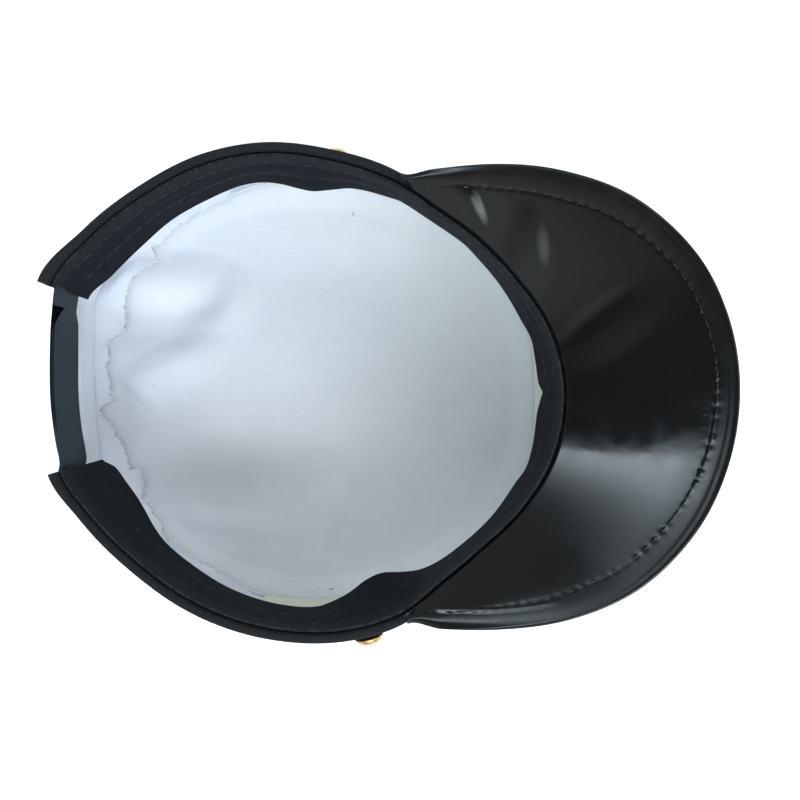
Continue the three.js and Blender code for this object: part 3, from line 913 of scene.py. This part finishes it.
def peak_waves(x, y, edge, along_edge):
    """Small heights on the face that shows."""
    hem = hem_width(x, y)
    height = 0.12 * np.sin(np.pi * np.clip(edge / hem, 0, 1)) ** 2
    uneven = 0.5 + 0.5 * np.sin(along_edge / 6.3 + 1) * np.sin(along_edge / 2.7)
    pucker = np.cos(2 * np.pi * along_edge / STITCH_PITCH + 0.8 * np.sin(along_edge / 9)) * uneven
    groove = np.exp(-((edge - hem) / 0.7) ** 2)
    pulled = 0.35 + 0.65 * ramp(along_edge, 60, 95)
    height = height - (0.12 - 0.08 * pucker) * groove * pulled
    height = height + 0.02 * pucker * pulled * np.exp(-((edge - hem) / 1.8) ** 2)
    near_front = np.exp(-(((np.degrees(np.arctan2(y, x)) - 2) / 7) ** 4))
    needled = near_front * np.exp(-((edge - hem - 3.2) / 0.6) ** 2)
    height = height - 0.05 * needled * np.maximum(0, np.cos(2 * np.pi * along_edge / 2.5))
    raw_fold = ramp(along_edge, 6, 12) * (1 - ramp(along_edge, 48, 56))
    height = height + 0.20 * raw_fold * np.clip((edge - 5.4) / 1.5, 0, 1) * (1 - ramp(edge, 6.9, 7.4))
    for *oval, lift in PEAK_FOLDS:
        height = height + lift * soft_hill(x, y, *oval) * ramp(edge - hem, -3.5, 3.5)
    return height


# %% [markdown]
# ### The peak's section
#
# The rows run round the loop. The corners are rounded on the shown half of the loop only.

# %% The peak's section
PEAK_SECTION = [
    # share of the loop, share of the reach, height above the face below
    (0.00, 0.00, PEAK_THICK),
    (0.80, 0.93, PEAK_THICK),
    (0.83, 0.960, 2.24),
    (0.86, 0.982, 2.14),
    (0.88, 0.995, 1.8),
    (0.90, 1.002, 1.3),
    (0.92, 1.00, 0.7),
    (0.94, 0.985, -0.1),
    (0.95, 0.955, -0.3),
    (0.965, 0.60, 0.0),
    (0.985, 0.00, 0.0),
    (1.00, 0.00, PEAK_THICK),
]
section_steps = np.linspace(0, 1, 801)
soft_corner = np.hanning(27) / np.hanning(27).sum()
section_loop, *section_values = np.array(PEAK_SECTION).T
softened = ramp(section_steps, 0.5, 0.6) * (1 - ramp(section_steps, 0.955, 0.985))
SECTION_REACH, SECTION_LIFT = [
    mix(sharp, np.convolve(np.pad(sharp, 13, mode="edge"), soft_corner, "valid"), softened)
    for sharp in [np.interp(section_steps, section_loop, values) for values in section_values]]


def peak_place(along, across):
    heading = mix(-PEAK_SPAN, PEAK_SPAN, along)
    share = np.interp(across, section_steps, SECTION_REACH)
    out = share * peak_reach(heading)
    dome = PEAK_DOME * np.sin(np.pi * np.clip(share, 0, 1))
    height = (rim_height(heading) + GAP + out * PEAK_SLOPE + dome
              + np.interp(across, section_steps, SECTION_LIFT))
    place = spot(heading, peak_root(heading) + out, height)
    edge, along_edge = from_outline(place[:, :2])
    shown = 1 - ramp(across, 0.79, 0.82)
    place[:, 2] += shown * peak_waves(place[:, 0], place[:, 1], edge, along_edge)
    return place


peak = grid_piece("peak_vinyl", 420, 120, peak_place, (260, 110))
tidy_edges()
bpy.ops.object.mode_set(mode="EDIT")
bpy.ops.mesh.select_all(action="DESELECT")
bpy.ops.mesh.select_mode(type="EDGE")
bpy.ops.mesh.select_non_manifold()
bpy.ops.mesh.fill_holes(sides=0)
bpy.ops.mesh.select_all(action="SELECT")
bpy.ops.mesh.normals_make_consistent(inside=False)
bpy.ops.object.mode_set(mode="OBJECT")
bpy.ops.object.shade_smooth_by_angle(angle=math.radians(60))
HAT_PIECES.append(peak)
print("peak", len(peak.data.polygons), "faces")

# %% [markdown]
# ## Black vinyl
#
# Vinyl is almost black underneath, with a clear, slightly smeared gloss. Only the roughness varies, and it
# is higher on the rolled edge, where the vinyl is stretched round the board. The mesh says where that is.

# %% Black vinyl
vinyl = new_finish("black_vinyl", (0.0030, 0.0034, 0.0038), 0.10, Specular_IOR_Level=0.5)
vinyl_place = hat_map(vinyl)
smears = clouds(vinyl, vinyl_place, 9.0, (1, 1, 1), 5.0)
smeared = levels(vinyl, smears, 0.3, 0.7, 0.06, 0.13)
stretched = sums(vinyl, "MULTIPLY", mesh_value(vinyl, "rolled"), 0.09)
plug(vinyl, sums(vinyl, "ADD", smeared, stretched), "Roughness")
plug(vinyl, relief(vinyl, clouds(vinyl, vinyl_place, 2.0, (1, 1, 1), 2.0), 0.005), "Normal")
plan = points_of(peak)[:, :2]
mark(peak, "rolled", 1 - ramp(from_outline(plan)[0] - hem_width(*plan.T), -1.0, 0.3))
dress(peak, vinyl)
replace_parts(peak, "peak")

# %% [markdown]
# ## Stitches
#
# A stitch is a short thread that comes up out of the cloth, lies on it and dives back in. One is modelled
# from a small sphere, drawn out long and arched, and a seam is that one stitch copied along a line. The line
# lies on the cloth, so each stitch is told which way is along the seam and which way is out of the cloth.

# %% One stitch


def model_stitch(name, sides=6, rings=6):
    """One stitch along X, one unit long, one thick and one high above its ends."""
    bpy.ops.object.select_all(action="DESELECT")
    bpy.ops.mesh.primitive_uv_sphere_add(segments=sides, ring_count=rings, radius=0.5)
    stitch = bpy.context.object
    stitch.name = name
    bpy.ops.object.mode_set(mode="EDIT")
    bpy.ops.mesh.select_all(action="SELECT")
    bpy.ops.transform.rotate(value=math.pi / 2, orient_axis="Y", center_override=(0, 0, 0))
    bpy.ops.object.mode_set(mode="OBJECT")
    points = np.array([v.co for v in stitch.data.vertices])
    faces = [tuple(p.vertices) for p in stitch.data.polygons]
    bpy.data.objects.remove(stitch)
    return points, faces


STITCH_POINTS, STITCH_FACES = model_stitch("one_stitch")


def thread_points(middle, forward, up, length, thickness, arch):
    """The points of one thread that lies along forward and arches up."""
    forward = forward / np.linalg.norm(forward)
    up = up - forward * up.dot(forward)
    up = up / np.linalg.norm(up)
    x, y, z = STITCH_POINTS.T
    lift = arch * (1 - (2 * x) ** 2)
    return (middle + np.outer(x * length, forward) + np.outer(y * thickness, np.cross(up, forward))
            + np.outer(z * thickness + lift, up))


def thread_piece(name, threads_made, finish):
    """One piece of many threads."""
    count = len(STITCH_POINTS)
    faces = [tuple(count * which + v for v in face)
             for which in range(len(threads_made)) for face in STITCH_FACES]
    mesh = bpy.data.meshes.new(name)
    mesh.from_pydata((np.concatenate(threads_made) * MM).tolist(), [], faces)
    mesh.update()
    made = bpy.data.objects.new(name, mesh)
    bpy.context.collection.objects.link(made)
    for face in mesh.polygons:
        face.use_smooth = True
    dress(made, finish)
    HAT_PIECES.append(made)
    print(name, len(threads_made), "threads,", len(mesh.polygons), "faces")


def sew(name, line, out, pitch, length, thickness, arch, finish, stagger=0.0, seed=1):
    """Stitches along a line of points in millimetres, with a direction out of the cloth at each."""
    chance = np.random.default_rng(seed)
    steps = np.linalg.norm(np.diff(line, axis=0), axis=1)
    run = np.concatenate([[0], np.cumsum(steps)])
    stitches = []
    for middle in np.arange(pitch * (0.6 + stagger), run[-1] - pitch * 0.5, pitch):
        middle = middle + chance.normal(0, 0.04 * pitch)
        ends = [np.array([np.interp(at, run, line[:, k]) for k in range(3)])
                for at in (middle - length / 2, middle + length / 2)]
        up = np.array([np.interp(middle, run, out[:, k]) for k in range(3)])
        rise = arch + chance.normal(0, 0.3) * thickness
        centre = (ends[0] + ends[1]) / 2
        stitches.append(thread_points(centre, ends[1] - ends[0], up, length, thickness, rise))
    thread_piece(name, stitches, finish)


def outward_of(place, along, across, step=0.002):
    """The direction out of a surface of place(along, across), on the side where they turn left."""
    ahead = place(along + step, across) - place(along - step, across)
    aside = place(along, across + step) - place(along, across - step)
    normal = np.cross(ahead, aside)
    return normal / np.linalg.norm(normal, axis=1)[:, None]


# %% [markdown]
# ## The sweatband's stitching
#
# Two rows of grey stitches run along the sweatband. They lie on the cloth on the hat's left and sink into
# it on the right, so their line is moved into the cloth there.

# %% The sweatband's stitching
grey_thread = new_finish("grey_thread", (0.07, 0.073, 0.08), 0.6, Specular_IOR_Level=0.2)
twist = threads(grey_thread, hat_map(grey_thread), 0.35, "DIAGONAL")
plug(grey_thread, between(grey_thread, twist, (0.05, 0.052, 0.057), (0.10, 0.104, 0.112)), "Base Color")


def sweat_face(along, across):
    """The face of the sweatband that shows."""
    return sweat_place(along, across) - CLOTH * spot(mix(BAND_START, BAND_END, along), 1.0, 0.0)


sweat_along = np.linspace(0.012, 0.988, 500)
SEWN_ROWS = [("sweat_stitches_upper", 0.74, 0.0), ("sweat_stitches_lower", 0.37, 0.4)]
for row_name, across, stagger in SEWN_ROWS:
    level = np.full_like(sweat_along, across)
    out_of_cloth = -outward_of(sweat_place, sweat_along, level)
    sunk = 0.13 * ramp(-np.sin(np.radians(mix(BAND_START, BAND_END, sweat_along))), -0.2, 0.4)
    sew(row_name, sweat_face(sweat_along, level) - sunk[:, None] * out_of_cloth, out_of_cloth, 5.2,
        4.3, 0.22, 0.06, grey_thread, stagger, seed=len(row_name))

# %% [markdown]
# ## Frayed threads
#
# The cut edge of the side panel was never bound, so short ends of yarn stick out of it. They are the same
# thread again, thinner, at chance places and directions along the edge.

# %% Frayed threads
raw_thread = new_finish("raw_thread", (0.82, 0.85, 0.90), 0.9, Specular_IOR_Level=0.2)
raw_twist = threads(raw_thread, hat_map(raw_thread), 0.3, "DIAGONAL")
plug(raw_thread, between(raw_thread, raw_twist, (0.82, 0.85, 0.90), (0.92, 0.94, 0.98)), "Base Color")
chance = np.random.default_rng(11)
ends = []
for heading in np.sort(chance.uniform(136, 256, 640)):
    start = raw_place(np.array(heading), 1.0)
    inward = -spot(heading, 1.0, 0.0)
    sidewards = np.cross((0, 0, 1), inward)
    way = inward + sidewards * chance.normal(0, 0.9) + np.array([0, 0, chance.normal(0.1, 0.25)])
    length = chance.uniform(0.7, 2.4) if chance.random() < 0.8 else chance.uniform(2.4, 4.2)
    way = way / np.linalg.norm(way)
    ends.append(thread_points(start + way * length * 0.35, way, np.array([0.1, 0.1, 1.0]), length,
                              chance.uniform(0.12, 0.22), chance.uniform(0.1, 0.4)))
thread_piece("raw_edge_threads", ends, raw_thread)

# %% [markdown]
# ## The peak's stitching
#
# The seam follows the outline at the width of the hem. Its points are the outline moved inwards, at right
# angles to the outline, and lifted onto the face that shows. Five dark thread ends lie loose on the lining.

# %% The peak's stitching
edge_turn = np.gradient(outline, axis=0)
edge_turn = edge_turn / np.linalg.norm(edge_turn, axis=1)[:, None]
inwards = np.stack([-edge_turn[:, 1], edge_turn[:, 0]], axis=1)
sewn_line = outline + hem_width(outline[:, 0], outline[:, 1])[:, None] * inwards


def peak_face(points):
    """Heights of the peak's shown face at points in plan."""
    heading = np.degrees(np.arctan2(points[:, 1], points[:, 0]))
    out = np.hypot(points[:, 0], points[:, 1]) - peak_root(heading)
    share = out / peak_reach(heading)
    edge, along_edge = from_outline(points)
    dome = PEAK_DOME * np.sin(np.pi * np.clip(share, 0, 1))
    return (rim_height(heading) + GAP + out * PEAK_SLOPE + dome
            + PEAK_THICK + peak_waves(*points.T, edge, along_edge)), out


sewn_height, sewn_out = peak_face(sewn_line)
kept = sewn_out > 1.5
sewn_line = np.column_stack([sewn_line, sewn_height])[kept]
sewn_up = np.tile([-0.5, 0.0, 0.87], (len(sewn_line), 1))
black_thread = new_finish("black_thread", (0.022, 0.024, 0.026), 0.35, Specular_IOR_Level=0.5)
thread_twist = threads(black_thread, hat_map(black_thread), 0.4, "DIAGONAL")
plug(black_thread, levels(black_thread, thread_twist, 0, 1, 0.25, 0.5), "Roughness")
loose = []
for x, y, turn, length in [(11.4, 82.6, 84, 2.0), (1.6, -89.4, 8, 2.4), (-79.2, 62.4, 100, 4.2),
                           (-93.4, 30.6, 60, 2.0), (-99.9, 19.6, 95, 3.4)]:
    way = np.array([math.cos(math.radians(turn)), math.sin(math.radians(turn)), 0.0])
    height = float(floor_height(x, y)) + CLOTH + 0.25
    loose.append(thread_points(np.array([x, y, height]), way, np.array([0.0, 0.0, 1.0]), length, 0.3, 0.15))
thread_piece("loose_thread_ends", loose, black_thread)
sew("peak_stitches", sewn_line, sewn_up, STITCH_PITCH, 2.7, 0.40, 0.10, black_thread, seed=5)

# %% [markdown]
# ## The buttons
#
# Two gilt dome buttons sit on the band, one each side. Each is a ball squeezed into a dome in front and
# nearly flat behind, with a ring for its rolled rim and a short shank that stops just off the band.

# %% The buttons
gilt = new_finish("gilt_metal", (0.80, 0.56, 0.20), 0.16, metallic=1.0)
tarnish = clouds(gilt, hat_map(gilt), 1.6, (1, 1, 1), 4.0)
gilt_colour = between(gilt, levels(gilt, tarnish, 0.35, 0.7), (0.62, 0.45, 0.19), (0.40, 0.27, 0.10))
plug(gilt, gilt_colour, "Base Color")
plug(gilt, levels(gilt, tarnish, 0.3, 0.7, 0.12, 0.28), "Roughness")
plug(gilt, relief(gilt, tarnish, 0.03), "Normal")
BUTTON_RIM = 0.5
BUTTON_DISC = 5.4 - BUTTON_RIM
BUTTON_DOME = 3.0
BUTTON_SHANK = 1.8


def model_button(name, heading, drop):
    """A domed button with a rolled rim and a shank, turned to face outwards from the band."""
    bpy.ops.object.select_all(action="DESELECT")
    bpy.ops.mesh.primitive_uv_sphere_add(segments=48, ring_count=24, radius=BUTTON_DISC * MM)
    button = bpy.context.object
    button.name = name
    button.data.name = name
    squeeze = BUTTON_DOME / BUTTON_DISC
    for point in button.data.vertices:
        point.co.z *= squeeze if point.co.z > 0 else 0.12
    bpy.ops.object.mode_set(mode="EDIT")
    bpy.ops.mesh.primitive_torus_add(major_radius=BUTTON_DISC * MM, minor_radius=BUTTON_RIM * MM,
                                     major_segments=48, minor_segments=12)
    bpy.ops.mesh.primitive_cylinder_add(radius=2 * MM, depth=BUTTON_SHANK * MM, vertices=24,
                                        location=(0, 0, -BUTTON_SHANK / 2 * MM))
    bpy.ops.object.mode_set(mode="OBJECT")
    height = rim_height(heading) - drop
    base = wall_radius(heading, height) + CLOTH + GAP + 0.5 * GAP + BUTTON_SHANK
    outwards = Vector(spot(heading, 1.0, 0.0))
    turn = outwards.to_track_quat("Z", "Y").to_matrix().to_4x4()
    button.data.transform(turn)
    for point in button.data.vertices:
        point.co += Vector(spot(heading, float(base), float(height))) * MM
    bpy.ops.object.shade_smooth_by_angle(angle=math.radians(40))
    dress(button, gilt)
    HAT_PIECES.append(button)
    print(name, len(button.data.polygons), "faces")
    return button


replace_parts(model_button("gilt_button_left", 84.5, 21.2), "button_left")
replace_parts(model_button("gilt_button_right", -76.6, 10), "button_right")

# %% [markdown]
# ## The hat's body
#
# Every piece rides on the hat's one body, and each layer of cloth says what flat size it was cut to.

for piece in HAT_PIECES:
    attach(piece, "root")
